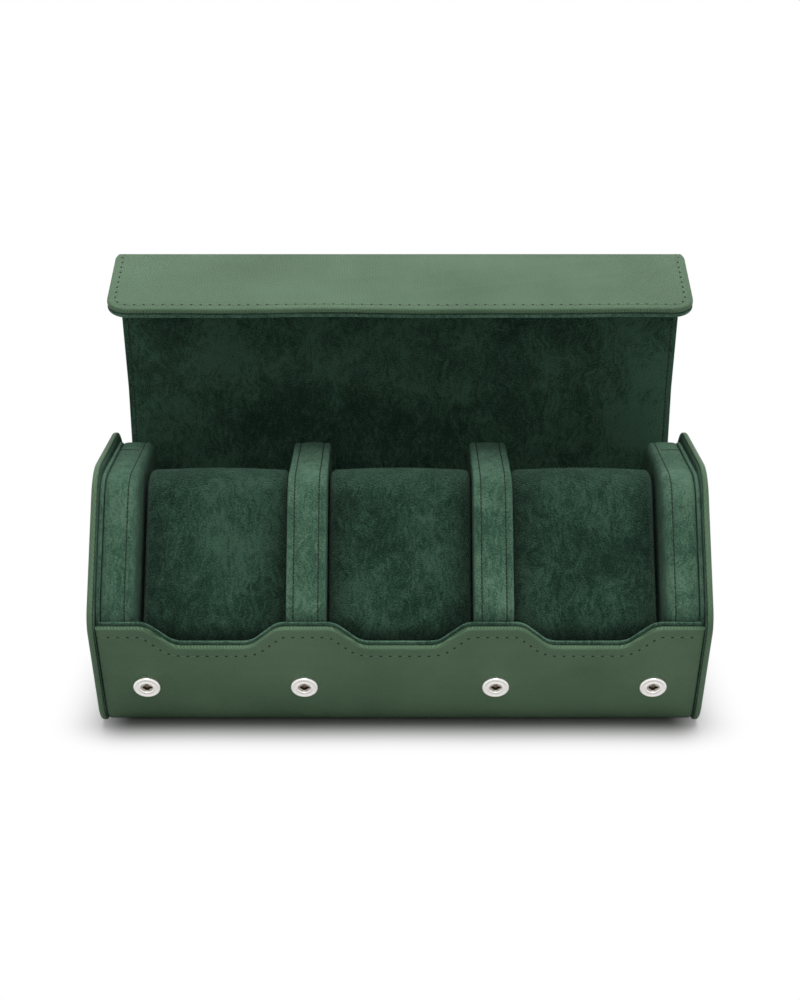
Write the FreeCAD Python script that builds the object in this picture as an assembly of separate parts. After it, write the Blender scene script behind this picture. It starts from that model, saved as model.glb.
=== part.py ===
"""A three-slot watch travel case of wrapped leather, standing open.

X runs left to right, Y to the back and Z up, in millimetres. The origin is on the
ground, under the middle of the six-sided section. Each panel of the wrap is drawn
flat, with its fold on the X axis and its inner side up, and is then laid in place.
"""
import FreeCAD, Part
import math
import os

os.makedirs("parts", exist_ok=True)

# The six-sided section, as half depths and heights
base_half_flat = 35.6
waist_half_depth = 59.6
waist_height = 48.3
top_half_flat = 30.3
case_height = 96.6

# Corner radii of the end caps
base_corner_radius = 16.0
waist_corner_radius = 10.6
top_corner_radius = 17.0

# Widths along X, from the middle slot outwards
slot_width = 52.7
divider_thickness = 14.0
end_wall_thickness = 12.75
cap_lining_thickness = 2.1
cap_thickness = 2.1

# Plies of the wrap, from the outside in
leather_thickness = 1.1
board_thickness = 1.6
lining_thickness = 0.7
leather_rim = 1.1
lining_inset = 0.9
wrap_side_gap = 0.6
lid_side_gap = 1.1

# Folds of the wrap
fold_gap = 1.2
fold_margin = 2.3
floor_fold_margin = 5.2
crease_margin = 3.2

# How the lid stands when open, as turns from level, floor panel first
open_turns = (0.0, 120.1, 99.0, 109.6, 201.8)

# The lid over the walls when closed
lid_gap = 1.0
front_waist_gap = 0.4

# Front panel and its wavy top edge
front_recess = 1.5
front_drop = 4.3
wave_depth = 9.7
wave_run = 15.8
wave_slope = 45.0
lining_rise = 1.2

# Flap
flap_past_snaps = 6.0
flap_corner_radius = 8.0
flap_edge_radius = 0.7

# End caps
cap_rim = 1.1
cap_skin = 1.0
cap_edge_radius = 0.8

# Padded walls
wall_top_radius = 19.0
wall_waist_radius = 10.0
wall_edge_radius = 2.5
wall_padding = 4.0

# Cushions
cushion_side_gap = 0.3
cushion_depth = 50.0
cushion_below_lid = 18.0
cushion_above_corner = 7.5
cushion_front_gap = 3.7
cushion_front_radius = 14.0
cushion_rear_radius = 12.0
cushion_crown = 2.8
cushion_cover_thickness = 2.5
cushion_slide = 6.0
cushion_station_shares = (-1.0, -0.9, -0.6, 0.6, 0.9, 1.0)
cushion_shrink_shares = (1.0, 0.38, 0.0, 0.0, 0.38, 1.0)

# Snap fasteners
snap_past_slot = 8.15
snap_from_cap = 16.6
snap_drop = 32.9
socket_radius = 5.0
socket_height = 1.7
socket_floor = 0.4
socket_bore_radius = 2.15
socket_edge = 0.9
socket_lip = 0.4
spring_wire = 0.45
spring_play = 0.05
spring_sweep = 300.0
rivet_barrel_radius = 1.2
rivet_head_radius = 4.0
rivet_head_thickness = 0.5
rivet_play = 0.05
stud_flange_radius = 4.4
stud_flange_thickness = 0.7
stud_neck_radius = 1.45
stud_tip_radius = 1.65
stud_length = 1.2
stud_seat_gap = 0.3
stud_lift = 1.4

# Rounded edges of padded and turned pieces, as turns from the side to the face
edge_turns = (0.0, 45.0, 90.0)

# One overrun serves every cut
overrun = 5.0

# Sizes that follow from those above
leather_half = leather_thickness / 2
backed_thickness = leather_thickness + board_thickness
wrap_thickness = backed_thickness + lining_thickness
lining_side = wrap_thickness - leather_half
divider_inner_x = slot_width / 2
divider_outer_x = divider_inner_x + divider_thickness
end_wall_inner_x = divider_outer_x + slot_width
end_wall_outer_x = end_wall_inner_x + end_wall_thickness
cap_inner_x = end_wall_outer_x + cap_lining_thickness
cap_outer_x = cap_inner_x + cap_thickness
wrap_half_width = cap_inner_x - wrap_side_gap
lid_half_width = cap_inner_x - lid_side_gap
snap_inner_x = divider_inner_x + snap_past_slot
snap_outer_x = cap_inner_x - snap_from_cap
snap_places = (-snap_outer_x, -snap_inner_x, snap_inner_x, snap_outer_x)
flap_stand = socket_height + stud_seat_gap + stud_flange_thickness

x_axis = FreeCAD.Vector(1, 0, 0)
z_axis = FreeCAD.Vector(0, 0, 1)


def at(y, z):
    """A point or direction of the section."""
    return FreeCAD.Vector(0, y, z)


def towards(turn):
    """The unit direction turned up from the back by an angle in degrees."""
    return at(math.cos(math.radians(turn)), math.sin(math.radians(turn)))


def left_of(direction):
    """The direction a quarter turn further round."""
    return at(-direction.z, direction.y)


def turn_of(direction):
    """The turn of a direction, from 0 to 360 degrees."""
    return math.degrees(math.atan2(direction.z, direction.y)) % 360


def meet(point_a, along_a, point_b, along_b):
    """Where two lines of the section cross."""
    gap = point_b - point_a
    step = gap.dot(left_of(along_b)) / along_a.dot(left_of(along_b))
    return point_a + along_a * step


def inset_corners(corners, insets):
    """Moves the side after each corner inwards and returns the new corners."""
    sides = []
    for index, corner in enumerate(corners):
        along = (corners[(index + 1) % len(corners)] - corner).normalize()
        sides.append((corner + left_of(along) * insets[index], along))
    return [meet(*sides[index - 1], *sides[index]) for index in range(len(sides))]


def rounded_wire(corners, radii):
    """A closed wire whose corners are arcs of the given radii."""
    edges = []
    ends = []
    for index, corner in enumerate(corners):
        back = (corners[index - 1] - corner).normalize()
        ahead = (corners[(index + 1) % len(corners)] - corner).normalize()
        half_angle = back.getAngle(ahead) / 2
        reach = radii[index] / math.tan(half_angle)
        middle = (back + ahead).normalize()
        depth = radii[index] / math.sin(half_angle) - radii[index]
        ends.append((corner + back * reach, corner + middle * depth, corner + ahead * reach))
    for index, (start, middle, end) in enumerate(ends):
        edges.append(Part.Arc(start, middle, end).toShape())
        edges.append(Part.LineSegment(end, ends[(index + 1) % len(ends)][0]).toShape())
    return Part.Wire(edges)


def across(wire, x_from, x_to):
    """Carries a closed wire of the section across, from one X to another."""
    face = Part.Face(wire)
    face.translate(x_axis * x_from)
    return face.extrude(x_axis * (x_to - x_from))


def soft_edged(outline, x_from, x_to, radius, both_sides):
    """A slice whose outline is drawn in round its edge, at its first face or at both."""
    stations = []
    inward = math.copysign(radius, x_to - x_from)
    for turn in reversed(edge_turns):
        inset = radius * (1 - math.cos(math.radians(turn)))
        stations.append((x_from + inward * (1 - math.sin(math.radians(turn))), inset))
    if both_sides:
        stations += [(x_from + x_to - x, inset) for x, inset in reversed(stations)]
    else:
        stations.append((x_to, 0))
    sections = []
    for x, inset in stations:
        wire = outline(inset)
        wire.translate(x_axis * x)
        sections.append(wire)
    return Part.makeLoft(sections, True, True)


def lay(shape, origin, turn):
    """Lays a piece that was drawn flat at a point of the section."""
    laid = shape.copy()
    laid.rotate(FreeCAD.Vector(), x_axis, turn)
    laid.translate(origin)
    return laid


def save(name, shape):
    """Checks a node and writes its file."""
    if not shape.isValid() or shape.Volume <= 0:
        raise ValueError(name + " is not a valid solid")
    shape.exportStep("parts/" + name + ".step")


# Section of the whole case


def section_corners():
    """Front foot, rear foot, rear waist, rear top, front top and front waist."""
    return [
        at(-base_half_flat, 0),
        at(base_half_flat, 0),
        at(waist_half_depth, waist_height),
        at(top_half_flat, case_height),
        at(-top_half_flat, case_height),
        at(-waist_half_depth, waist_height),
    ]


def cap_wire(inset):
    """Outline of the end caps, drawn in by an inset."""
    corners = inset_corners(section_corners(), [inset] * len(section_corners()))
    low = base_corner_radius - inset
    waist = waist_corner_radius - inset
    top = top_corner_radius - inset
    return rounded_wire(corners, [low, low, waist, top, top, waist])


def wall_wire(inset):
    """Outline of the padded walls, which fit inside the closed wrap."""
    under_lid = wrap_thickness + lid_gap + inset
    on_base = wrap_thickness + inset
    on_front = front_recess + wrap_thickness + inset
    corners = inset_corners(
        section_corners(), [on_base, under_lid, under_lid, under_lid, under_lid, on_front]
    )
    low = base_corner_radius - on_base
    waist = wall_waist_radius - inset
    top = wall_top_radius - inset
    return rounded_wire(corners, [low, low, waist, top, top, waist])


front_foot, rear_foot, rear_waist, rear_top, front_top, front_waist = section_corners()
front_down = (front_foot - front_waist).normalize()
front_in = left_of(front_down)
front_turn = turn_of(front_down)
front_origin = front_waist + front_in * front_recess
bend_centre = meet(
    front_origin + front_in * base_corner_radius,
    front_down,
    z_axis * base_corner_radius,
    at(1, 0),
)

# The closed lid's front face, along which the cushions lie
lid_down = (front_waist - front_top).normalize()
lid_in = left_of(lid_down)
cushion_toe = meet(
    front_top + lid_in * (cushion_below_lid + cushion_front_radius),
    lid_down,
    front_origin + front_in * (wrap_thickness + cushion_front_gap + cushion_front_radius),
    front_down,
)
cushion_end = (cushion_toe - front_top).dot(lid_down) + cushion_front_radius

# Folds of the closed lid, which lie in the middle of the leather
closed_corners = inset_corners(section_corners(), [leather_half] * len(section_corners()))
floor_fold, waist_fold, rear_top_fold, front_top_fold = closed_corners[1:5]
waist_reach = front_origin - front_top_fold
front_lid_turn = turn_of(waist_reach) - math.degrees(
    math.asin((lining_side + front_waist_gap) / waist_reach.Length)
)
flap_line = front_origin - front_in * (flap_stand + lining_side)
crease = meet(front_top_fold, towards(front_lid_turn), flap_line, front_down)
stud_reach = snap_drop - (crease - front_origin).dot(front_down)
flap_length = stud_reach + flap_past_snaps
lift_turn = math.degrees(math.asin(stud_lift / stud_reach))

closed_folds = (floor_fold, waist_fold, rear_top_fold, front_top_fold, crease)
panel_lengths = [
    (after - before).Length for before, after in zip(closed_folds, closed_folds[1:])
] + [flap_length]
closed_turns = [
    turn_of(after - before) for before, after in zip(closed_folds, closed_folds[1:])
] + [front_turn - lift_turn]


def open_folds():
    """Where each panel's fold lies while the lid stands open."""
    folds = [floor_fold]
    for length, turn in zip(panel_lengths, open_turns):
        folds.append(folds[-1] + towards(turn) * length)
    return folds


# Plies that are drawn flat


def ply(half_width, start, end, low, high, radius=0):
    """A flat ply, whose far corners are rounded if a radius is given."""
    corners = [
        FreeCAD.Vector(-half_width, start, low),
        FreeCAD.Vector(half_width, start, low),
        FreeCAD.Vector(half_width, end, low),
        FreeCAD.Vector(-half_width, end, low),
    ]
    if radius <= 0:
        return Part.Face(Part.makePolygon(corners + corners[:1])).extrude(z_axis * (high - low))
    slant = radius * (1 - math.sqrt(2) / 2)
    right_low = FreeCAD.Vector(half_width, end - radius, low)
    right_mid = FreeCAD.Vector(half_width - slant, end - slant, low)
    right_top = FreeCAD.Vector(half_width - radius, end, low)
    left_top = FreeCAD.Vector(-half_width + radius, end, low)
    left_mid = FreeCAD.Vector(-half_width + slant, end - slant, low)
    left_low = FreeCAD.Vector(-half_width, end - radius, low)
    edges = [
        Part.LineSegment(corners[0], corners[1]).toShape(),
        Part.LineSegment(corners[1], right_low).toShape(),
        Part.Arc(right_low, right_mid, right_top).toShape(),
        Part.LineSegment(right_top, left_top).toShape(),
        Part.Arc(left_top, left_mid, left_low).toShape(),
        Part.LineSegment(left_low, corners[0]).toShape(),
    ]
    return Part.Face(Part.Wire(edges)).extrude(z_axis * (high - low))


def bead(half_width, reach):
    """The round end of a leather ply, on the axis of its fold."""
    start = FreeCAD.Vector(-half_width, reach, 0)
    return Part.makeCylinder(leather_half, 2 * half_width, start, x_axis)


def folding_panel(half_width, length, leather_span, ply_span):
    """Leather, board and lining of one flat panel, drawn with its fold on the X axis."""
    leather_start, leather_end = leather_span
    start, end = ply_span
    board_top = leather_half + board_thickness
    skin = ply(half_width, leather_start, leather_end, -leather_half, leather_half)
    skin = skin.fuse(bead(half_width, length))
    rims = ply(half_width, start, end, leather_half, board_top).cut(
        ply(half_width - leather_rim, start - overrun, end + overrun, leather_half, board_top)
    )
    leather = skin.fuse(rims).removeSplitter()
    board = ply(half_width - leather_rim, start, end, leather_half, board_top)
    lining = ply(half_width - lining_inset, start, end, board_top, lining_side)
    return leather, board, lining


def flap_plies():
    """Leather, board and lining of the flap, with rounded free corners."""
    board_top = leather_half + board_thickness
    leather = ply(
        lid_half_width, crease_margin, flap_length, -leather_half, board_top, flap_corner_radius
    )
    rim_edges = [
        edge
        for edge in leather.Edges
        if edge.BoundBox.ZMax < 0 and edge.BoundBox.YMax > crease_margin + leather_half
    ]
    leather = leather.makeFillet(flap_edge_radius, rim_edges)
    board = ply(
        lid_half_width - leather_rim,
        crease_margin,
        flap_length - leather_rim,
        leather_half,
        board_top,
        flap_corner_radius - leather_rim,
    )
    neck = ply(lid_half_width - flap_edge_radius, fold_gap, crease_margin, -leather_half, leather_half)
    leather = leather.cut(board).fuse(neck).removeSplitter()
    lining = ply(
        lid_half_width - lining_inset,
        crease_margin,
        flap_length - lining_inset,
        board_top,
        lining_side,
        flap_corner_radius - lining_inset,
    )
    return leather, board, lining


# Snap fasteners, drawn upright on their own axis


def turned(profile):
    """Turns a closed profile of radius and height about the Z axis."""
    points = [FreeCAD.Vector(radius, 0, height) for radius, height in profile]
    face = Part.Face(Part.makePolygon(points + points[:1]))
    return face.revolve(FreeCAD.Vector(), z_axis, 360)


def disc(radius, low, high):
    """A plain round, from one height to another."""
    return Part.makeCylinder(radius, high - low, z_axis * low)


def socket():
    """Ring that takes the stud, standing on the leather."""
    return turned(
        [
            (0, 0),
            (socket_radius, 0),
            (socket_radius, socket_height - socket_edge),
            (socket_radius - socket_edge, socket_height),
            (socket_bore_radius + socket_lip, socket_height),
            (socket_bore_radius, socket_height - socket_lip),
            (socket_bore_radius, socket_floor),
            (0, socket_floor),
        ]
    )


def spring():
    """Open wire ring that lies in the socket and grips the stud."""
    outer = socket_bore_radius - spring_play
    low = (socket_floor + socket_height - socket_lip - spring_wire) / 2
    corners = [
        FreeCAD.Vector(outer - spring_wire, 0, low),
        FreeCAD.Vector(outer, 0, low),
        FreeCAD.Vector(outer, 0, low + spring_wire),
        FreeCAD.Vector(outer - spring_wire, 0, low + spring_wire),
    ]
    section = Part.Face(Part.makePolygon(corners + corners[:1]))
    return section.revolve(FreeCAD.Vector(), z_axis, spring_sweep)


def socket_rivet():
    """Flat head behind the board, with its barrel up to the socket."""
    head = disc(rivet_head_radius, -backed_thickness, rivet_head_thickness - backed_thickness)
    barrel = disc(rivet_barrel_radius, -backed_thickness, 0)
    return head.fuse(barrel).removeSplitter()


def stud():
    """Flange and post on the flap's lining, standing up from it."""
    top = stud_flange_thickness + stud_length
    swell = stud_tip_radius - stud_neck_radius
    return turned(
        [
            (0, 0),
            (stud_flange_radius, 0),
            (stud_flange_radius - stud_flange_thickness / 2, stud_flange_thickness),
            (stud_neck_radius, stud_flange_thickness),
            (stud_tip_radius, top - 2 * swell),
            (stud_neck_radius, top),
            (0, top),
        ]
    )


def stud_rivet():
    """Flat head hidden under the flap's leather, with its barrel up to the stud."""
    head_low = -lining_thickness - board_thickness
    head = disc(rivet_head_radius, head_low, head_low + rivet_head_thickness)
    barrel = disc(rivet_barrel_radius, head_low, 0)
    return head.fuse(barrel).removeSplitter()


def at_snaps(piece, reach, height, inner_side_up):
    """Copies of a snap's piece, in the frame of the panel that carries them."""
    copies = []
    for x in snap_places:
        copy = piece.copy()
        if not inner_side_up:
            copy.rotate(FreeCAD.Vector(), x_axis, 180)
        copy.translate(FreeCAD.Vector(x, reach, height))
        copies.append(copy)
    return Part.makeCompound(copies)


# Front panel


def wave_outline(half_width, drop):
    """Outline of the front panel, with its top edge dipping in front of each slot."""
    top = drop + front_drop
    low = top + wave_depth
    slope = math.radians(wave_slope)
    radius = (wave_run - wave_depth / math.tan(slope)) / (
        2 * (math.sin(slope) - (1 - math.cos(slope)) / math.tan(slope))
    )
    along = radius * math.sin(slope)
    down = radius * (1 - math.cos(slope))
    half_along = radius * math.sin(slope / 2)
    half_down = radius * (1 - math.cos(slope / 2))
    long = 2 * (front_foot - front_waist).Length

    def spot(x, reach):
        return FreeCAD.Vector(x, reach, 0)

    edges = []
    last = spot(-half_width, top)
    for index in (-1, 0, 1):
        centre = index * (slot_width + divider_thickness)
        for side in (-1, 1):
            outer = centre + side * slot_width / 2
            inner = outer - side * wave_run
            high_arc = (
                spot(outer, top),
                spot(outer - side * half_along, top + half_down),
                spot(outer - side * along, top + down),
            )
            low_arc = (
                spot(inner + side * along, low - down),
                spot(inner + side * half_along, low - half_down),
                spot(inner, low),
            )
            arcs = (high_arc, low_arc) if side < 0 else (low_arc[::-1], high_arc[::-1])
            for arc in arcs:
                edges.append(Part.LineSegment(last, arc[0]).toShape())
                edges.append(Part.Arc(*arc).toShape())
                last = arc[2]
    lower_corners = (spot(half_width, long), spot(-half_width, long))
    for corner in (spot(half_width, top), *lower_corners, spot(-half_width, top)):
        edges.append(Part.LineSegment(last, corner).toShape())
        last = corner
    return Part.Wire(edges)


def front_ply(half_width, low, high, drop):
    """One ply of the front panel, from its wavy edge down and round the bottom bend."""
    above = front_down * overrun
    outer_radius = base_corner_radius - low
    inner_radius = base_corner_radius - high
    middle = (front_in + z_axis).normalize()
    outer = [
        front_origin + front_in * low - above,
        bend_centre - front_in * outer_radius,
        bend_centre - middle * outer_radius,
        bend_centre - z_axis * outer_radius,
    ]
    inner = [
        front_origin + front_in * high - above,
        bend_centre - front_in * inner_radius,
        bend_centre - middle * inner_radius,
        bend_centre - z_axis * inner_radius,
    ]
    edges = [
        Part.LineSegment(outer[0], outer[1]).toShape(),
        Part.Arc(outer[1], outer[2], outer[3]).toShape(),
        Part.LineSegment(outer[3], inner[3]).toShape(),
        Part.Arc(inner[3], inner[2], inner[1]).toShape(),
        Part.LineSegment(inner[1], inner[0]).toShape(),
        Part.LineSegment(inner[0], outer[0]).toShape(),
    ]
    strip = across(Part.Wire(edges), -half_width, half_width)
    shape = Part.Face(wave_outline(half_width, drop))
    shape.translate(z_axis * -overrun)
    shape = shape.extrude(z_axis * (base_corner_radius + 2 * overrun))
    return strip.common(lay(shape, front_origin, front_turn))


def front_panel():
    """Writes the front panel's three plies, with the snaps' sockets in them."""
    board = front_ply(wrap_half_width - leather_rim, leather_thickness, backed_thickness, leather_rim)
    leather = front_ply(wrap_half_width, 0, backed_thickness, 0).cut(board)
    lining = front_ply(wrap_half_width - lining_inset, backed_thickness, wrap_thickness, -lining_rise)
    barrel = disc(rivet_barrel_radius + rivet_play, -overrun, overrun)
    pocket = disc(
        rivet_head_radius + rivet_play,
        -backed_thickness - overrun,
        rivet_head_thickness - backed_thickness,
    )
    barrels = lay(at_snaps(barrel, snap_drop, 0, False), front_origin, front_turn)
    pockets = lay(at_snaps(pocket, snap_drop, 0, False), front_origin, front_turn)
    save("front_leather", leather.cut(barrels))
    save("front_board", board.cut(barrels).cut(pockets))
    save("front_lining", lining)
    for name, piece in (
        ("snap_sockets", socket()),
        ("socket_springs", spring()),
        ("socket_rivets", socket_rivet()),
    ):
        save(name, lay(at_snaps(piece, snap_drop, 0, False), front_origin, front_turn))


# Base panel, caps and walls


def base_panel():
    """Writes the flat bottom of the wrap, up to the fold behind it."""
    length = floor_fold.y - bend_centre.y
    leather, board, lining = folding_panel(
        wrap_half_width, length, (0, length), (0, length - fold_margin)
    )
    origin = at(bend_centre.y, leather_half)
    save("base_leather", lay(leather, origin, 0))
    save("base_board", lay(board, origin, 0))
    save("base_lining", lay(lining, origin, 0))


def on_side(shape, side):
    """A piece drawn on the right, or its mirror image on the left."""
    if side > 0:
        return shape
    return shape.mirror(FreeCAD.Vector(), x_axis)


def end_cap(name, side):
    """Writes one end cap: leather turned over a board, and a padded lining."""
    skin = soft_edged(cap_wire, cap_outer_x, cap_inner_x, cap_edge_radius, False)
    board = across(cap_wire(cap_rim), cap_inner_x, cap_outer_x - cap_skin)
    lining = across(wall_wire(0), end_wall_outer_x, cap_inner_x)
    save(name + "_cap_leather", on_side(skin.cut(board), side))
    save(name + "_cap_board", on_side(board, side))
    save(name + "_cap_lining", on_side(lining, side))


def wall_core_wire():
    """Plain outline of the stiff core inside a padded wall."""
    inset = wrap_thickness + lid_gap + wall_padding
    corners = inset_corners(section_corners(), [inset] * len(section_corners()))
    return Part.makePolygon(corners + corners[:1])


def padded_wall(x_from, x_to, both_sides):
    """Padded cover and stiff core of a wall on the right of the case."""
    whole = soft_edged(wall_wire, x_from, x_to, wall_edge_radius, both_sides)
    core = across(wall_core_wire(), x_from + wall_padding, x_to - wall_padding)
    return whole.cut(core), core


def walls():
    """Writes the dividers between the slots and the padded walls at the ends."""
    for name, side in (("left", -1), ("right", 1)):
        cover, core = padded_wall(divider_inner_x, divider_outer_x, True)
        save(name + "_divider_cover", on_side(cover, side))
        save(name + "_divider_core", on_side(core, side))
        cover, core = padded_wall(end_wall_inner_x, end_wall_outer_x, False)
        save(name + "_end_wall_cover", on_side(cover, side))
        save(name + "_end_wall_core", on_side(core, side))


# Lid


def lid_panels():
    """Writes the four hinged panels of the lid, standing open."""
    folds = open_folds()
    spans = (
        ("rear_lower", fold_margin, floor_fold_margin),
        ("rear_upper", floor_fold_margin, fold_margin),
        ("top", fold_margin, fold_margin),
        ("upper_front", fold_margin, crease_margin),
    )
    for index, (name, start, end) in enumerate(spans):
        length = panel_lengths[index]
        plies = folding_panel(lid_half_width, length, (fold_gap, length), (start, length - end))
        for kind, piece in zip(("leather", "board", "lining"), plies):
            save(name + "_" + kind, lay(piece, folds[index], open_turns[index]))


def flap():
    """Writes the flap and the studs of its snaps."""
    origin = open_folds()[4]
    turn = open_turns[4]
    leather, board, lining = flap_plies()
    barrel = disc(rivet_barrel_radius + rivet_play, -overrun, overrun)
    head_low = -lining_thickness - board_thickness
    pocket = disc(rivet_head_radius + rivet_play, head_low - overrun, head_low + rivet_head_thickness)
    barrels = at_snaps(barrel, stud_reach, lining_side, True)
    pockets = at_snaps(pocket, stud_reach, lining_side, True)
    save("flap_leather", lay(leather, origin, turn))
    save("flap_board", lay(board.cut(barrels).cut(pockets), origin, turn))
    save("flap_lining", lay(lining.cut(barrels), origin, turn))
    save("snap_studs", lay(at_snaps(stud(), stud_reach, lining_side, True), origin, turn))
    save("stud_rivets", lay(at_snaps(stud_rivet(), stud_reach, lining_side, True), origin, turn))


# Cushions


def cushion_wire(x, shrink):
    """Rounded section of a cushion, drawn flat and made smaller all round."""
    start = shrink - cushion_above_corner
    end = cushion_end - shrink
    low = cushion_below_lid + shrink
    high = cushion_below_lid + cushion_depth - shrink
    corners = [at(start, low), at(end, low), at(end, high), at(start, high)]
    front = cushion_front_radius - shrink
    rear = cushion_rear_radius - shrink
    wire = rounded_wire(corners, [front, front, rear, rear])
    wire.translate(x_axis * x)
    return wire


def cushion_form():
    """The crowned body of a cushion, whose ends draw in towards the walls."""
    half = slot_width / 2 - cushion_side_gap
    sections = []
    for station, shrink in zip(cushion_station_shares, cushion_shrink_shares):
        sections.append(cushion_wire(station * half, shrink * cushion_crown))
    return Part.makeLoft(sections, True, True)


def cushion_core():
    """The foam block inside a cushion."""
    half = slot_width / 2 - cushion_side_gap - 2 * cushion_cover_thickness
    return across(cushion_wire(0, cushion_cover_thickness), -half, half)


def cushions():
    """Writes the three cushions, each a cover round a foam core."""
    turn = turn_of(lid_down)
    for name, index in (("left", -1), ("middle", 0), ("right", 1)):
        shift = x_axis * (index * (slot_width + divider_thickness))
        whole = lay(cushion_form(), front_top + shift, turn)
        core = lay(cushion_core(), front_top + shift, turn)
        save("cushion_" + name + "_cover", whole.cut(core))
        save("cushion_" + name + "_core", core)


def print_joints():
    """Prints the folds and turns that the joints are made of."""
    for index, fold in enumerate(open_folds()[:5]):
        before_open = open_turns[index - 1] if index else 0
        before_closed = closed_turns[index - 1] if index else 0
        bend = closed_turns[index] - before_closed - (open_turns[index] - before_open)
        print("fold %d at y %.4f z %.4f turns %.4f" % (index, fold.y, fold.z, bend))
    print("cushion slides %.2f along y %.5f z %.5f" % (cushion_slide, -lid_in.y, -lid_in.z))


front_panel()
base_panel()
end_cap("left", -1)
end_cap("right", 1)
walls()
lid_panels()
flap()
cushions()
print_joints()
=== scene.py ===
"""Looks of the three-slot watch travel case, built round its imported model.

All sizes are in millimetres until a mesh is made. A sheet is drawn flat, as X across,
a reach along it and a height from its outer face inwards, and is then laid in place.
"""
import math

import bmesh
import bpy
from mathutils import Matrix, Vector


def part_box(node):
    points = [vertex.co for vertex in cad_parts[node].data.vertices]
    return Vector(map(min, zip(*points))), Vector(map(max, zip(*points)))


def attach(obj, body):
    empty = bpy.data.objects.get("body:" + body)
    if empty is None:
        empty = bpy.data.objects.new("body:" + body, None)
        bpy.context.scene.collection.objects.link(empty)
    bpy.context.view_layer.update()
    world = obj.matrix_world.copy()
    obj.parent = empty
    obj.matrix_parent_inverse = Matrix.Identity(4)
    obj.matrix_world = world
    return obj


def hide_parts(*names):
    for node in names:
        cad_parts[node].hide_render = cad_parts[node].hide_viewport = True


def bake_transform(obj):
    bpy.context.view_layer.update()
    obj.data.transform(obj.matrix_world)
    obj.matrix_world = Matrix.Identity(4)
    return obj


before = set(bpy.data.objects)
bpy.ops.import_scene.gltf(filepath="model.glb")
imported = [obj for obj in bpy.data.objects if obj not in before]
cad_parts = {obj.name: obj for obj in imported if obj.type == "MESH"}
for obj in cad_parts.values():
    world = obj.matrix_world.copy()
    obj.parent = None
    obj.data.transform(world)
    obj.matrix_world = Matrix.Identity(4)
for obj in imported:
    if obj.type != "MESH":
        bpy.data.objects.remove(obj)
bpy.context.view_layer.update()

millimetre = 0.001

# Section of the case, as half depths and heights
base_half_flat = 35.6
waist_half_depth = 59.6
waist_height = 48.3
top_half_flat = 30.3
case_height = 96.6
base_corner_radius = 16.0
waist_corner_radius = 10.6
top_corner_radius = 17.0

# Widths along X
slot_width = 52.7
divider_thickness = 14.0
end_wall_thickness = 12.75
cap_lining_thickness = 2.1
cap_thickness = 2.1
wrap_side_gap = 0.6
lid_side_gap = 1.1

# Plies of the wrap
leather_thickness = 1.1
board_thickness = 1.6
lining_thickness = 0.7
lining_inset = 0.9
edge_radius = 0.8
lining_edge_radius = 0.35
lining_lap = 0.2
lining_set_back = 0.25
nap = 0.25

# Folds of the wrap, with spans before and after each axis
fold_spans = ((2.3, 4.5), (6.0, 6.0), (5.5, 5.5), (5.5, 5.5), (4.0, 4.0))
fold_radii = (8.0, 1.6, 8.0, 12.0, 2.0)
fold_pinches = (0.0, 1.0, 0.0, 0.0, 1.0)
pinch_power = 1.5
crease_narrowing = 1.0
open_turns = (0.0, 120.1, 99.0, 109.6, 201.8)
flap_length = 39.52
crease_past_waist = 3.4812
fold_thinning = 0.45
panel_shares = (0.0, 0.01, 0.25, 0.5, 0.75, 0.99, 1.0)
floor_shares = (0.02, 0.98, 1.0)

# Front panel
front_recess = 1.5
front_drop = 4.3
wave_depth = 9.7
wave_run = 15.8
wave_slope = 45.0
lining_rise = 0.7
front_edge_gap = 0.7
side_inset_limit = 1.8
side_inset_share = 0.02

# Flap, with waves of (length, shift, share)
flap_corner_radius = 8.0
flap_edge_gap = 0.75
flap_lining_lap = 0.1
flap_lining_set_back = 0.3
flap_lining_reach = 0.3
flap_waviness = 0.21
flap_waves = ((17.0, 0.0, 1.0), (9.1, 1.3, 0.6))

# End caps, with the profile at the cap's inner face as (X, inset)
cap_edge_radius = 0.95
cap_turned_edge = ((0.1, 1.4), (0.0, 0.35), (0.25, 0.08), (0.5, 0.0))
cap_facing = ((0.02, 1.3), (0.15, 1.0), (0.3, 1.25), (0.3, 2.2), (0.18, 6.0))
cap_facing_depth = 0.3
cap_ply_gap = 0.2
cap_ply_round = 0.55
cap_ply_reach = 5.0

# Padded walls, with shoulders of (width, drop, set back) and an edge of (X from a face, inset)
lid_gap = 1.0
wall_top_radius = 19.0
wall_waist_radius = 10.0
wall_rear_radius = 24.0
wall_swell = 0.5
top_swell = 5.0
divider_shoulder = (1.3, 1.3, 0.0)
end_wall_shoulder = (2.4, 4.5, 1.0)
wall_face_insets = (16.0, 9.0, 6.0)
wall_outer_edge = ((1.6, -0.15), (0.9, -0.02), (0.5, 0.15), (0.25, 0.5), (0.15, 1.1), (0.15, 5.0))
band_crown = 0.25
band_crown_shares = (0.4, 0.7)
wall_stitch_sink = 0.1

# Welt and crack on top of the end walls
wall_seam_back = 10.4
wall_seam_gap = 0.4
wall_seam_drift = 0.8
wall_seam_flatness = 0.5
wall_seam_end_share = 0.35
welt_back = 0.95
welt_radius = 0.75
crack_radius = 0.42
crack_lift_share = 0.62

# Cushions, with tables of (share of the half width, inset)
cushion_side_gap = 0.5
cushion_depth = 50.0
cushion_below_lid = 18.0
cushion_above_corner = 7.5
cushion_front_gap = 3.7
cushion_front_radius = 14.0
cushion_rear_radius = 12.0
cushion_inset = 0.84
cushion_swell = 1.8
cushion_end_radius = 2.6
cushion_end_face = ((0.95, 12.0), (0.99, 7.5))
cushion_crown = ((0.8, -0.12), (0.66, -0.3), (0.4, -0.55), (0.2, -0.68), (0.0, -0.72))

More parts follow.
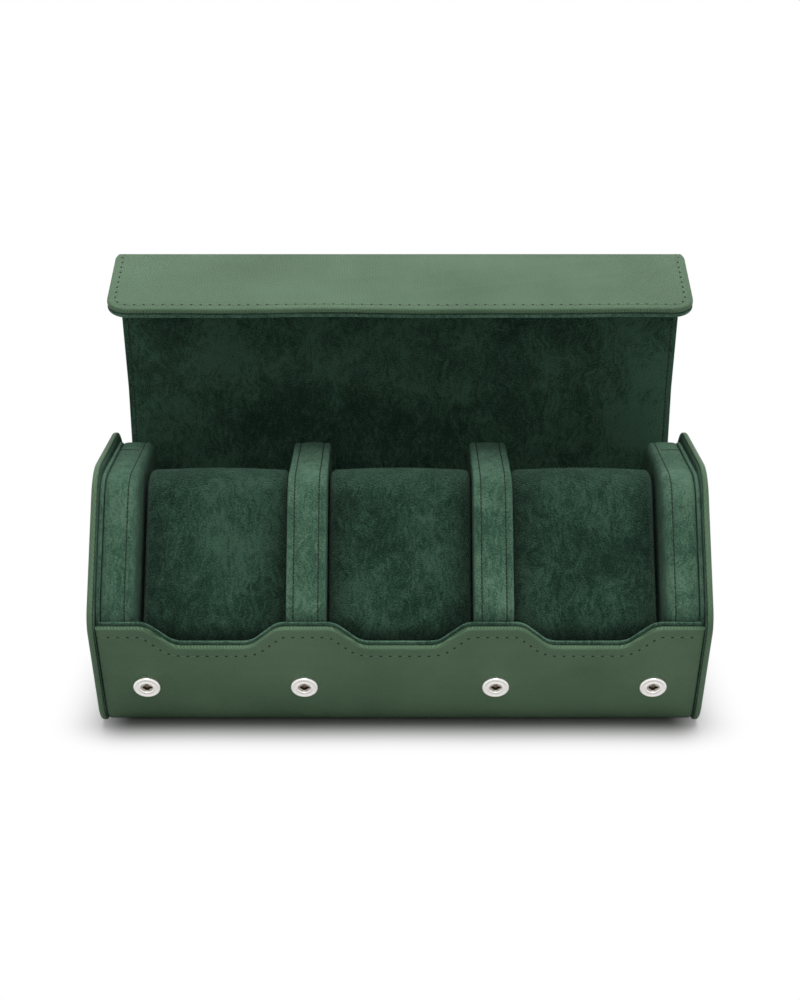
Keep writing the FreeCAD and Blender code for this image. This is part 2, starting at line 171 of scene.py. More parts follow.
# Snap fasteners, with tables of radii against depths below the rim or heights
snap_past_slot = 8.15
snap_from_cap = 16.6
snap_drop = 32.9
snap_seat = 0.1
turned_centre = 0.05
socket_radius = 5.0
socket_height = 1.7
socket_round = 0.6
socket_foot_share = 0.94
socket_bore_radius = 2.15
socket_floor = 0.4
socket_face = (
    (4.1, 0.02), (3.9, 0.1), (3.2, 0.12), (2.85, 0.1), (2.6, 0.0), (2.4, 0.05), (2.25, 0.25), (2.15, 0.5),
)
socket_well = ((2.12, 1.08), (2.06, 0.7), (0.9, 0.54), (0.5, 0.9), (turned_centre, 0.95))
stud_flange_radius = 4.4
stud_flange_thickness = 0.7
stud_flange_round = 0.5
stud_foot_share = 0.97
stud_foot_heights = (0.15, 0.2)
stud_post = (
    (1.95, 0.7), (1.45, 0.9), (1.45, 1.2), (1.65, 1.45), (1.65, 1.6), (1.45, 1.82), (1.05, 1.9),
    (turned_centre, 1.9),
)
spring_wire_radius = 0.22
spring_inset = 0.35
spring_ends = (30, 330)
lobe_depth = 0.45
lobe_thickness = 0.3
lobe_root_radius = 2.0
lobe_size = 0.75
lobe_power = 1.5

# Stitches, with the profile of a thread as (reach along it, size, lift)
stitch_pitch = 3.42
stitch_share = 0.66
thread_radius = 0.24
thread_flatness = 0.8
thread_profile = (
    (-0.5, 0.3, -0.7), (-0.4, 0.85, -0.1), (0.0, 1.0, 0.25), (0.4, 0.85, -0.1), (0.5, 0.3, -0.7),
)
flap_stitch_inset = 3.0
front_stitch_inset = 3.8
lid_stitch_inset = 2.3
divider_stitch_inset = 2.6
end_wall_stitch_inset = 4.2
cap_stitch_inset = 3.0
groove_depth = 0.09
groove_half_width = 0.5
hole_radius = 0.36
hole_stretch = 1.6
hole_depth = 0.3
hole_lift = 0.02
stitch_sink = 0.03

# How finely forms are drawn
corner_steps = 10
wall_corner_steps = 12
strip_corner_steps = 5
wall_side_steps = 6
cushion_side_steps = 8
flap_side_steps = 24
outer_edge_steps = 5
inner_edge_steps = 4
ply_steps = 12
rim_steps = 6
bend_steps = 14
fold_steps = 20
wave_steps = 8
round_steps = 8
seam_steps = 8
seam_sides = 12
thread_sides = 6
hole_sides = 8
turned_sides = 64
spring_steps = 36
spring_sides = 8
least_radius = 0.05
least_length = 1e-9
smooth_angle = 40.0
soft_smooth_angle = 60.0
turned_smooth_angle = 50.0
thread_smooth_angle = 70.0
hole_smooth_angle = 30.0

# Sizes that follow
leather_half = leather_thickness / 2
backed_thickness = leather_thickness + board_thickness
wrap_thickness = backed_thickness + lining_thickness
lid_backed_thickness = backed_thickness - lining_lap
lid_lining_thickness = wrap_thickness - lid_backed_thickness
divider_inner_x = slot_width / 2
divider_outer_x = divider_inner_x + divider_thickness
end_wall_inner_x = divider_outer_x + slot_width
end_wall_outer_x = end_wall_inner_x + end_wall_thickness
cap_inner_x = end_wall_outer_x + cap_lining_thickness
cap_outer_x = cap_inner_x + cap_thickness
wrap_half_width = cap_inner_x - wrap_side_gap
lid_half_width = cap_inner_x - lid_side_gap
slot_pitch = slot_width + divider_thickness

lid_panels = ("rear_lower", "rear_upper", "top", "upper_front")
fold_names = ("floor_fold", "waist_fold", "rear_top_fold", "front_top_fold", "flap_crease")
flap_index = len(lid_panels)
sides = ((-1, "left"), (1, "right"))


# Plane geometry in the section, where points are (Y, Z)


def swings(first, last, steps):
    """Cosines and sines at even turns between two angles in degrees."""
    turns = [math.radians(first + (last - first) * step / steps) for step in range(steps + 1)]
    return [(math.cos(turn), math.sin(turn)) for turn in turns]


def circle(count):
    """Cosines and sines at even turns round a whole circle."""
    return swings(0, 360, count)[:-1]


def towards(turn):
    """The unit direction turned up from the back by an angle in degrees."""
    return Vector((math.cos(math.radians(turn)), math.sin(math.radians(turn))))


def left_of(direction):
    """The direction a quarter turn further round."""
    return Vector((-direction.y, direction.x))


def meet(point_a, along_a, point_b, along_b):
    """Where two lines cross."""
    step = (point_b - point_a).dot(left_of(along_b)) / along_a.dot(left_of(along_b))
    return point_a + along_a * step


def at_x(x, point):
    """A point or direction of the section, at a place along X."""
    return Vector((x, point.x, point.y))


def rectangle(left, right, low, high):
    """Corners of a rectangle, round from its lower left."""
    return [Vector(corner) for corner in ((left, low), (right, low), (right, high), (left, high))]


def inset_corners(corners, insets):
    """Moves the side after each corner inwards and returns the new corners."""
    lines = []
    for index, corner in enumerate(corners):
        along = (corners[(index + 1) % len(corners)] - corner).normalized()
        lines.append((corner + left_of(along) * insets[index], along))
    return [meet(*lines[index - 1], *lines[index]) for index in range(len(lines))]


def rounded(corners, radii, steps=corner_steps, side_steps=1):
    """Points round a closed outline whose corners are arcs."""
    arcs = []
    for index, corner in enumerate(corners):
        back = (corners[index - 1] - corner).normalized()
        ahead = (corners[(index + 1) % len(corners)] - corner).normalized()
        half_angle = math.acos(max(-1.0, min(1.0, back.dot(ahead)))) / 2
        radius = max(radii[index], least_radius)
        centre = corner + (back + ahead).normalized() * (radius / math.sin(half_angle))
        start = corner + back * (radius / math.tan(half_angle)) - centre
        sweep = 180 - math.degrees(2 * half_angle)
        arcs.append([centre + start * c + left_of(start) * s for c, s in swings(0, sweep, steps)])
    points = []
    for index, arc in enumerate(arcs):
        points += arc
        after = arcs[(index + 1) % len(arcs)][0]
        points += [arc[-1].lerp(after, step / side_steps) for step in range(1, side_steps)]
    return points


front_foot = Vector((-base_half_flat, 0))
rear_foot = Vector((base_half_flat, 0))
rear_waist = Vector((waist_half_depth, waist_height))
rear_top = Vector((top_half_flat, case_height))
front_top = Vector((-top_half_flat, case_height))
front_waist = Vector((-waist_half_depth, waist_height))
section = [front_foot, rear_foot, rear_waist, rear_top, front_top, front_waist]

front_down = (front_foot - front_waist).normalized()
front_in = left_of(front_down)
front_origin = front_waist + front_in * front_recess
level = Vector((1, 0))
upright = Vector((0, 1))
bend_centre = meet(
    front_origin + front_in * base_corner_radius, front_down, upright * base_corner_radius, level
)
bend_reach = (bend_centre - front_origin).dot(front_down)
closed_corners = inset_corners(section, [leather_half] * len(section))
floor_fold = closed_corners[1]
panel_lengths = [(b - a).length for a, b in zip(closed_corners[1:5], closed_corners[2:6])]
panel_lengths[-1] += crease_past_waist
panel_lengths.append(flap_length)


def cap_outline(inset):
    """Outline of the end caps, drawn in by an inset."""
    corners = inset_corners(section, [inset] * len(section))
    low = base_corner_radius - inset
    waist = waist_corner_radius - inset
    top = top_corner_radius - inset
    return rounded(corners, [low, low, waist, top, top, waist], side_steps=wall_side_steps)


def wall_outline(inset):
    """Outline of the padded walls, drawn in by an inset."""
    under_lid = wrap_thickness + lid_gap - wall_swell + inset
    on_base = wrap_thickness + inset
    on_front = front_recess + wrap_thickness + inset
    corners = inset_corners(section, [on_base, *[under_lid] * 4, on_front])
    low = base_corner_radius - on_base
    rear = wall_rear_radius - inset
    top = wall_top_radius - top_swell - inset
    waist = wall_waist_radius - inset
    return rounded(corners, [low, low, rear, top, top, waist], wall_corner_steps, wall_side_steps)


def open_folds():
    """Where each panel's fold lies while the lid stands open."""
    places = [floor_fold]
    for length, turn in zip(panel_lengths, open_turns):
        places.append(places[-1] + towards(turn) * length)
    return places


folds = open_folds()


# Meshes


def add_object(name, data):
    """Adds an object with its data to the scene."""
    made = bpy.data.objects.new(name, data)
    bpy.context.scene.collection.objects.link(made)
    return made


def dress(piece, body, *nodes):
    """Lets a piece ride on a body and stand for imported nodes."""
    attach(piece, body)
    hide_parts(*nodes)


def add_form(points, faces, rings, caps, closed):
    """Adds a form through closed rings of points, with its ends capped or joined."""
    first = len(points)
    count = len(rings[0])
    points += [Vector(point) * millimetre for ring in rings for point in ring]
    starts = list(range(first, len(points), count))
    if closed:
        starts.append(first)
    for low, high in zip(starts, starts[1:]):
        for i in range(count):
            j = (i + 1) % count
            faces.append((low + i, low + j, high + j, high + i))
    if caps[0]:
        faces.append(tuple(reversed(range(first, first + count))))
    if caps[1]:
        faces.append(tuple(range(starts[-1], starts[-1] + count)))


def make_piece(
    name, forms, material, uv_rings=None, caps=(True, True), closed=False, crease=smooth_angle
):
    """A smooth piece of one or more forms, each a list of rings of points."""
    points = []
    faces = []
    for rings in forms:
        add_form(points, faces, rings, caps, closed)
    mesh = bpy.data.meshes.new(name)
    mesh.from_pydata(points, [], faces)
    if uv_rings:
        flat = [uv for ring in uv_rings for uv in ring]
        layer = mesh.uv_layers.new(name="flat")
        for loop in mesh.loops:
            u, v = flat[loop.vertex_index]
            layer.data[loop.index].uv = (u * millimetre, v * millimetre)
    work = bmesh.new()
    work.from_mesh(mesh)
    bmesh.ops.recalc_face_normals(work, faces=work.faces)
    work.to_mesh(mesh)
    work.free()
    for polygon in mesh.polygons:
        polygon.use_smooth = True
    mesh.set_sharp_from_angle(angle=math.radians(crease))
    mesh.materials.append(material)
    piece = add_object(name, mesh)
    return piece


def laid(ring, place):
    """A flat ring of (X, reach, height), laid in the section by a placing function."""
    return [(x, *place(reach, height)) for x, reach, height in ring]


def flat_place(origin, turn):
    """Places a flat sheet whose fold's axis is at a point of the section."""
    along = towards(turn)
    inward = left_of(along)
    return lambda reach, height: origin + along * reach + inward * (height - leather_half)


def front_place(reach, height):
    """Places the front panel's flat sheet."""
    return front_origin + front_down * reach + front_in * height


def band_section(half_width, low, high, radius, groove_at=None, low_side=True):
    """Closed section of a strip across X, as (X, height), with round edges and grooves."""
    corners = rectangle(-half_width, half_width, low, high)
    points = rounded(corners, [radius] * 4, strip_corner_steps)
    if groove_at is None:
        return points
    groove = []
    for side, _ in sides:
        centre = side * (half_width - groove_at)
        for share in (-1, 0, 1):
            depth = groove_depth if share == 0 else 0
            height = low + depth if low_side else high - depth
            groove.append(Vector((centre + share * groove_half_width, height)))
    cut = len(points) // 4
    if low_side:
        return points[:cut] + groove + points[cut:]
    return points[: 3 * cut] + groove[::-1] + points[3 * cut :]


def strip(name, stations, section_at, material):
    """A strip swept along stations of (point, inward, share, reach)."""
    rings = []
    uv_rings = []
    for point, inward, share, reach in stations:
        outline = section_at(share)
        rings.append([(x, *(point + inward * (height - leather_half))) for x, height in outline])
        uv_rings.append([(x, reach + height) for x, height in outline])
    return make_piece(name, [rings], material, uv_rings)


# Stitches


def line_places(points, normals, distances):
    """Places along a polyline at rising distances, as (point, along, across, normal)."""
    lengths = [(b - a).length for a, b in zip(points, points[1:])]
    places = []
    index = 0
    passed = 0.0
    for distance in distances:
        while index < len(lengths) - 1 and passed + lengths[index] < distance:
            passed += lengths[index]
            index += 1
        share = (distance - passed) / max(lengths[index], least_length)
        along = (points[index + 1] - points[index]).normalized()
        normal = normals[index].lerp(normals[index + 1], share).normalized()
        spot = points[index].lerp(points[index + 1], share)
        places.append((spot, along, normal.cross(along).normalized(), normal))
    return places


def threads(points, normals, step, count):
    """The rings of each thread stitch along a polyline."""
    distances = [
        step * (number + 0.5 + reach * stitch_share)
        for number in range(count)
        for reach, _, _ in thread_profile
    ]
    rings = []
    for number, (spot, _, across, normal) in enumerate(line_places(points, normals, distances)):
        _, size, lift = thread_profile[number % len(thread_profile)]
        ring = []
        for c, s in circle(thread_sides):
            swing = across * (size * c) + normal * (size * s * thread_flatness + lift)
            ring.append(spot + swing * thread_radius)
        rings.append(ring)
    return [rings[k : k + len(thread_profile)] for k in range(0, len(rings), len(thread_profile))]


def needle_holes(points, normals, step, count):
    """The rings of each needle hole, halfway between two stitches."""
    holes = []
    ends = [step * (number + 1) for number in range(count)]
    for spot, along, across, normal in line_places(points, normals, ends):
        middle = spot + normal * hole_lift
        rim = [
            middle + (across * c + along * (hole_stretch * s)) * hole_radius
            for c, s in circle(hole_sides)
        ]
        holes.append([rim, [point - normal * hole_depth for point in rim]])
    return holes


def stitches(name, points, normals, carry, material, closed=False):
    """A row of thread stitches that lie in a groove, with needle holes between them in painted shade."""
    if closed:
        points = points + points[:1]
        normals = normals + normals[:1]
    total = sum((b - a).length for a, b in zip(points, points[1:]))
    count = max(1, round(total / stitch_pitch))
    row = points, normals, total / count, count
    carry(make_piece(name, threads(*row), material, crease=thread_smooth_angle))
    holes = needle_holes(*row)
    carry(make_piece(name + "_holes", holes, painted_shade_black, crease=hole_smooth_angle))


def rides(body):
    """A way to carry a piece along with one body."""
    return lambda piece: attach(piece, body)


def flat_stitches(name, flat_points, place, outward, body, material):
    """A row of stitches along flat points of (X, reach, height)."""
    points = [Vector(point) for point in laid(flat_points, place)]
    normal = at_x(0, outward)
    stitches(name, points, [normal] * len(points), rides(body), material)


def outline_stitches(name, outline, inset, x, facing, material):
    """Stitches that follow a section outline, facing along X or else outwards."""
    flat = outline(inset)
    points = [at_x(x, point) for point in flat]
    normals = []
    for index in range(len(flat)):
        along = (flat[(index + 1) % len(flat)] - flat[index - 1]).normalized()
        outward = -left_of(along)
        normals.append(Vector((facing, 0, 0)) if facing else at_x(0, outward))
    stitches(name, points, normals, rides("base"), material, closed=True)


# Nodes of materials


class Graph:
    """The nodes of a material or a world, linked as they are added."""

    def __init__(self, tree):
        self.nodes = tree.nodes
        self.links = tree.links

    def fill(self, node, inputs):
        """Sets or links a node's inputs by name or number."""
        for key, value in inputs.items():
            if isinstance(value, bpy.types.NodeSocket):
                self.links.new(value, node.inputs[key])
            else:
                node.inputs[key].default_value = value
        return node

    def add(self, kind, inputs, output=0, **settings):
        """Adds a node and gives one of its outputs."""
        node = self.nodes.new("ShaderNode" + kind)
        for key, value in settings.items():
            setattr(node, key, value)
        return self.fill(node, inputs).outputs[output]

    def maths(self, operation, *values):
        """The result of a maths node on sockets or numbers."""
        return self.add("Math", dict(enumerate(values)), operation=operation)

    def vector_maths(self, operation, *values):
        """The vector that comes from a maths node on vectors."""
        return self.add("VectorMath", dict(enumerate(values)), operation=operation)

    def noise(self, coordinates, scale, detail=3.0, roughness=0.55):
        """The value of a noise texture."""
        inputs = {"Vector": coordinates, "Scale": scale, "Detail": detail, "Roughness": roughness}
        return self.add("TexNoise", inputs, "Fac")

    def weighted(self, parts):
        """The sum of several values about their middle, each with its own gain."""
        total = 0.5
        for value, gain in parts:
            apart = self.maths("SUBTRACT", value, 0.5)
            total = self.maths("ADD", self.maths("MULTIPLY", apart, gain), total)
        return total

    def ramp(self, value, stops):
        """A colour ramp with the given (place, colour) stops."""
        colour = self.add("ValToRGB", {"Fac": value}, "Color")
        elements = colour.node.color_ramp.elements
        while len(elements) < len(stops):
            elements.new(0.5)
        for element, (place, tone) in zip(elements, stops):
            element.position = place
            element.color = (*tone, 1)
        return colour

    def smooth_range(self, value, low, high, most=1.0):
        """A value that rises smoothly to its most between two limits."""
        inputs = {"Value": value, "From Min": low, "From Max": high, "To Max": most}
        return self.add("MapRange", inputs, "Result", interpolation_type="SMOOTHSTEP")

    def stretched(self, coordinates, scale, angle=0.0):
        """Coordinates measured in steps of a scale along turned axes."""
        inputs = {"Vector": coordinates, "Rotation": (0, 0, math.radians(angle)), "Scale": scale}
        return self.add("Mapping", inputs, vector_type="TEXTURE")

    def bump(self, height, strength, distance, below=None):
        """A bump of the surface, laid over another one if given."""
        inputs = {"Height": height, "Strength": strength, "Distance": distance}
        if below:
            inputs["Normal"] = below
        return self.add("Bump", inputs, "Normal")

    def shaded_crevices(self, colour, share, reach):
        """Painted shade: a colour that darkens where another surface is near."""
        near = self.add("AmbientOcclusion", {"Distance": reach * millimetre}, "Color", samples=8)
        return self.add(
            "MixRGB", {"Fac": share, "Color1": colour, "Color2": near}, blend_type="MULTIPLY"
        )

    def seen_rays(self):
        """One for rays from the camera or off a gloss, and nought for the rest."""
        paths = self.nodes.new("ShaderNodeLightPath").outputs
        either = self.maths("ADD", paths["Is Camera Ray"], paths["Is Glossy Ray"])
        return self.maths("MINIMUM", either, 1.0)


def new_material(name):
    """A material with its graph, its shader and its object coordinates."""
    material = bpy.data.materials.new(name)
    material.use_nodes = True
    graph = Graph(material.node_tree)
    return material, graph, graph.nodes["Principled BSDF"], graph.add("TexCoord", {}, "Object")


# Materials


grain_angle = 40.0
grain_pitch = 0.74
grain_stretch = 3.0
grain_wave = {"Scale": math.pi / 10, "Distortion": 1.2, "Detail": 1.0, "Detail Scale": 1.2}
patch_gain, cell_gain, pore_gain = 0.7, 0.48, 0.4
blotch_gain, stroke_gain, fibre_gain, brushed_gain = 1.15, 0.45, 1.05, 0.75
brushed_scale = (0.0011, 0.0045, 0.0045)
warp_reach = 0.012
sheen_tint = (0.5, 0.85, 0.66, 1)

# Cells of noise to a metre
patch_scale, pore_scale, mark_scale = 30, 2600, 900
warp_scale, blotch_scale, stroke_scale, fibre_scale = 90, 34, 150, 1900

# Heights of bumps in metres
grain_relief, patch_relief, nap_relief, fibre_relief = 0.0003, 0.0015, 0.0012, 0.0001

# Painted shade: how far the darkening of suede in crevices reaches, in millimetres
painted_shade_reach = 14.0
# Painted light: where the suede's lightening towards its sides is centred, starts and ends, and how
# strong it is on the lid
side_light_middle, side_light_start, side_light_end, lid_painted_side_light = -0.02, 0.03, 0.1, 0.14


def streaks(graph, coordinates, angle):
    """Fine uneven streaks at an angle across a sheet's flat coordinates."""
    scale = [grain_pitch * stretch * millimetre for stretch in (grain_stretch, 1.0, 1.0)]
    turned = graph.stretched(coordinates, scale, angle)
    return graph.add("TexWave", {"Vector": turned, **grain_wave}, "Fac", bands_direction="Y")


def leather_material(name, light, dark):
    """Cross-grained leather, whose grain follows the flat sheet."""
    material, graph, shader, solid = new_material(name)
    flat = graph.add("TexCoord", {}, "UV")
    first = streaks(graph, flat, grain_angle)
    second = streaks(graph, flat, -grain_angle)
    cells = graph.maths("MAXIMUM", first, second)
    patches = graph.noise(solid, patch_scale)
    pores = graph.noise(solid, pore_scale, 2, 0.6)
    shade = graph.weighted(((patches, patch_gain), (cells, cell_gain), (pores, pore_gain)))
    fine = graph.bump(cells, 0.8, grain_relief)
    graph.fill(shader, {
        "Base Color": graph.ramp(shade, ((0.2, dark), (0.8, light))),
        "Roughness": graph.maths("MULTIPLY_ADD", patches, 0.14, 0.38),
        "Normal": graph.bump(patches, 0.22, patch_relief, fine),
        "Specular IOR Level": 0.22,
    })
    return material


def suede_material(name, dark, middle, light, sheen, painted_side_light=0.0, painted_crevice_shade=0.0):
    """Napped suede with fine fibres and soft brushed patches, with painted light towards the sides and
    painted shade in crevices where asked for.
    """
    material, graph, shader, solid = new_material(name)
    warp = graph.add("TexNoise", {"Scale": warp_scale, "Detail": 2, "Vector": solid}, "Color")
    bent = graph.vector_maths("MULTIPLY_ADD", warp, (warp_reach,) * 3, solid)
    blotches = graph.noise(bent, blotch_scale, 4, 0.6)
    strokes = graph.noise(bent, stroke_scale, 4, 0.65)
    fibres = graph.noise(solid, fibre_scale, 2, 0.7)
    brushed = graph.noise(graph.stretched(bent, brushed_scale), 1.0, 2.0, 0.6)
    total = graph.weighted((
        (blotches, blotch_gain), (strokes, stroke_gain), (fibres, fibre_gain), (brushed, brushed_gain),
    ))
    # Painted light: the suede lightens smoothly with distance across X from the middle
    if painted_side_light:
        across = graph.add("SeparateXYZ", {"Vector": solid}, "X")
        away = graph.maths("ABSOLUTE", graph.maths("SUBTRACT", across, side_light_middle))
        total = graph.maths("ADD", total, graph.smooth_range(away, side_light_start, side_light_end, painted_side_light))
    colour = graph.ramp(total, ((0.3, dark), (0.51, middle), (0.74, light)))
    # Painted shade: the suede darkens where other surfaces are near
    if painted_crevice_shade:
        colour = graph.shaded_crevices(colour, painted_crevice_shade, painted_shade_reach)
    coarse = graph.bump(strokes, 0.4, nap_relief)
    graph.fill(shader, {
        "Base Color": colour,
        "Roughness": 0.95,
        "Specular IOR Level": 0.1,
        "Sheen Weight": sheen,
        "Sheen Roughness": 0.4,
        "Sheen Tint": sheen_tint,
        "Normal": graph.bump(fibres, 1.0, nap_relief, coarse),
    })
    return material


def metal_material(name, colour, roughness):
    """Polished metal with faint turning marks."""
    material, graph, shader, solid = new_material(name)
    marks = graph.noise(solid, mark_scale, 4, 0.7)
    graph.fill(shader, {
        "Base Color": graph.ramp(marks, ((0.3, [part * 0.88 for part in colour]), (0.7, colour))),
        "Roughness": graph.maths("MULTIPLY_ADD", marks, 0.1, roughness),
        "Metallic": 1.0,
    })
    return material


def plain_material(name, dark, light, scale, roughness):
    """A matt material with fibres of two tones."""
    material, graph, shader, solid = new_material(name)
    fibres = graph.noise(solid, scale)
    graph.fill(shader, {
        "Base Color": graph.ramp(fibres, ((0.3, dark), (0.7, light))),
        "Roughness": roughness,
        "Normal": graph.bump(fibres, 0.4, fibre_relief),
    })
    return material


leather = leather_material("green_leather", (0.131, 0.227, 0.133), (0.046, 0.102, 0.052))
# The lid suede gets painted light towards its sides
lid_suede = suede_material(
    "lid_suede", (0.007, 0.028, 0.016), (0.024, 0.068, 0.041), (0.062, 0.145, 0.092), 0.3, lid_painted_side_light
)
# The cushion suede gets painted shade in its crevices
cushion_suede = suede_material(
    "cushion_suede", (0.009, 0.031, 0.019), (0.026, 0.07, 0.044), (0.059, 0.131, 0.086), 0.35, painted_crevice_shade=1.0
)
# A lighter copy of the same suede for the padded bands, partly for their nap and partly painted light on
# their upward faces, with painted shade in its crevices
painted_lit_band_suede = suede_material(
    "painted_lit_band_suede", (0.036, 0.098, 0.06), (0.082, 0.178, 0.114), (0.15, 0.28, 0.185), 0.35, painted_crevice_shade=0.8
)
# A lighter copy of the same suede for lining edges and cap plies: painted highlight along those edges
painted_lit_rim_suede = suede_material("painted_lit_rim_suede", (0.03, 0.08, 0.05), (0.07, 0.155, 0.1), (0.13, 0.25, 0.165), 0.5)
thread_material = plain_material("green_thread", (0.1, 0.17, 0.105), (0.15, 0.24, 0.155), 3000, 0.7)
suede_thread = plain_material("dark_thread", (0.006, 0.016, 0.01), (0.015, 0.035, 0.023), 3000, 0.8)
# Painted shade: near black for the needle holes and the end walls' seam crack
painted_shade_black = plain_material("needle_holes", (0.003, 0.008, 0.005), (0.006, 0.014, 0.009), 3000, 0.9)
tarnish = metal_material("dark_metal", (0.16, 0.13, 0.1), 0.4)
nickel = metal_material("nickel", (0.96, 0.93, 0.9), 0.2)
steel = metal_material("spring_steel", (0.5, 0.46, 0.4), 0.25)
# Painted shade: the board is near black so the thin gaps at the turned edges, where it shows, read as
# dark
board = plain_material("painted_shade_board", (0.014, 0.024, 0.017), (0.028, 0.042, 0.032), 900, 0.9)


# Wrap of the base: front panel, bottom bend and floor


def wave_line(half_width, inset):
    """The front panel's wavy top edge from right to left, moved down by an inset."""
    top = front_drop
    low = top + wave_depth
    slope = math.radians(wave_slope)
    rise = math.sin(slope) - (1 - math.cos(slope)) / math.tan(slope)
    radius = (wave_run - wave_depth / math.tan(slope)) / (2 * rise)
    arc = swings(0, wave_slope, wave_steps)
    points = [(half_width, top + inset)]
    for index in (1, 0, -1):
        for side in (1, -1):
            outer = index * slot_pitch + side * slot_width / 2
            inner = outer - side * wave_run
            size = radius - inset
            down = [(outer - side * size * s, top + radius - size * c) for c, s in arc]
            size = radius + inset
            down += [(inner + side * size * s, low - radius + size * c) for c, s in arc[::-1]]
            points += down if side > 0 else down[::-1]
    points.append((-half_width, top + inset))
    return points


def front_outline(half_width, inset, height, rise):
    """Flat outline of a ply of the front panel, from its wavy edge down to the bend."""
    side_x = half_width - min(inset, side_inset_limit) - inset * side_inset_share
    ring = [(x, reach - rise, height) for x, reach in wave_line(side_x, inset)]
    return ring + [(-side_x, bend_reach, height), (side_x, bend_reach, height)]


def groove_profile(groove_at):
    """Places and depths across a groove, from its far side to its near one."""
    return [
        (groove_at + 3 * groove_half_width, 0),
        (groove_at + groove_half_width, 0),
        (groove_at, groove_depth),
        (groove_at - groove_half_width, 0),
    ]


def round_profile(thickness, low_radius, high_radius, groove_at=None):
    """Profile of a turned edge, as (inset, height), from the outer face to the inner one."""
    profile = [(low_radius * 2, 0)] if groove_at is None else groove_profile(groove_at)
    profile += [(low_radius * (1 - c), low_radius * (1 - s)) for c, s in swings(90, 0, outer_edge_steps)]
    for c, s in swings(0, 90, inner_edge_steps):
        profile.append((high_radius * (1 - c), thickness - high_radius * (1 - s)))
    profile.append((high_radius * 2, thickness))
    return profile


def edge_uvs(rings, start=0.0):
    """Flat coordinates that run on round a turned edge."""
    return [[(x + math.copysign(h, x), reach + start + h) for x, reach, h in ring] for ring in rings]


def front_piece(name, half_width, rise, low, high, radii, groove_at, material):
    """One ply of the front panel, with a rounded wavy edge."""
    flat = [
        front_outline(half_width, inset, low + height, rise)
        for inset, height in round_profile(high - low, *radii, groove_at)
    ]
    uv_rings = [[(x + math.copysign(h, x), reach - h) for x, reach, h in ring] for ring in flat]
    return make_piece(name, [[laid(ring, front_place) for ring in flat]], material, uv_rings)


def base_stations():
    """Stations round the bottom bend and along the floor, up to the fold behind."""
    stations = []
    first_turn = math.atan2(-front_in.y, -front_in.x)
    sweep = (-math.pi / 2 - first_turn) % (2 * math.pi)
    middle = base_corner_radius - leather_half
    for step in range(bend_steps + 1):
        passed = sweep * step / bend_steps
        out = towards(math.degrees(first_turn + passed))
        stations.append((bend_centre + out * middle, -out, 0.0, bend_reach + middle * passed))
    span = floor_fold.x - fold_spans[0][0] - bend_centre.x
    for share in floor_shares:
        point = Vector((bend_centre.x + span * share, leather_half))
        stations.append((point, upright, 1.0, bend_reach + middle * sweep + span * share))
    return stations


def front_and_base():
    """The front panel, the bottom bend and the floor, in leather and suede."""
    leather_front = front_piece(
        "front_leather_skin", wrap_half_width, 0, 0, backed_thickness - front_edge_gap,
        (edge_radius, lining_edge_radius), front_stitch_inset, leather,
    )
    dress(leather_front, "base", "front_leather")
    lining = front_piece(
        "front_suede_lining", wrap_half_width - lining_inset, lining_rise, backed_thickness,
        wrap_thickness + nap, (lining_edge_radius, lining_edge_radius), None, painted_lit_rim_suede,
    )
    dress(lining, "base", "front_lining")
    sheet = strip(
        "base_leather_skin", base_stations(),
        lambda share: band_section(wrap_half_width, 0, backed_thickness, edge_radius),
        leather,
    )
    dress(sheet, "base", "base_leather")
    floor = strip(
        "base_suede_lining", base_stations(),
        lambda share: band_section(
            wrap_half_width - lining_inset, backed_thickness, wrap_thickness, lining_edge_radius
        ),
        lid_suede,
    )
    dress(floor, "base", "base_lining")
    line = wave_line(wrap_half_width - edge_radius, front_stitch_inset)
    edge = [(x, reach, stitch_sink) for x, reach in line]
    flat_stitches("front_stitches", edge, front_place, -front_in, "base", thread_material)


# Lid


def lid_reach(index):
    """How far along the wrap a lid panel's fold lies, from the floor fold."""
    return sum(panel_lengths[:index])


def lid_skin(half_width, high):
    """Section of the lid's leather, up to a height."""
    radius = min(edge_radius, high * fold_thinning)
    return band_section(half_width, 0, high, radius, lid_stitch_inset, True)


def lid_lining(half_width, low):
    """Section of the lid's lining, from a height up."""
    inner = half_width - lining_set_back
    high = low + lid_lining_thickness
    return band_section(inner, low, high, lining_edge_radius, lid_stitch_inset, False)


def lid_panel(index):
    """Leather, suede and side stitches of one panel of the lid."""
    name = lid_panels[index]
    start = fold_spans[index][1]
    end = panel_lengths[index] - fold_spans[index + 1][0]
    turn = open_turns[index]
    place = flat_place(folds[index], turn)
    inward = left_of(towards(turn))
    stations = []
    for share in panel_shares:
        reach = start + (end - start) * share
        stations.append((place(reach, leather_half), inward, share, lid_reach(index) + reach))
    skin = strip(
        name + "_leather_skin", stations, lambda share: lid_skin(lid_half_width, lid_backed_thickness),
        leather,
    )
    dress(skin, name, name + "_leather")
    lining = strip(
        name + "_suede_lining", stations,
        lambda share: lid_lining(lid_half_width, lid_backed_thickness), lid_suede,
    )
    dress(lining, name, name + "_lining")
    for side, label in sides:
        x = side * (lid_half_width - lid_stitch_inset)
        for height, outward, title, material in (
            (stitch_sink, -inward, "_stitches", thread_material),
            (wrap_thickness - stitch_sink, inward, "_lining_stitches", suede_thread),
        ):
            line = [(x, start, height), (x, end, height)]
            flat_stitches(name + "_" + label + title, line, place, outward, name, material)


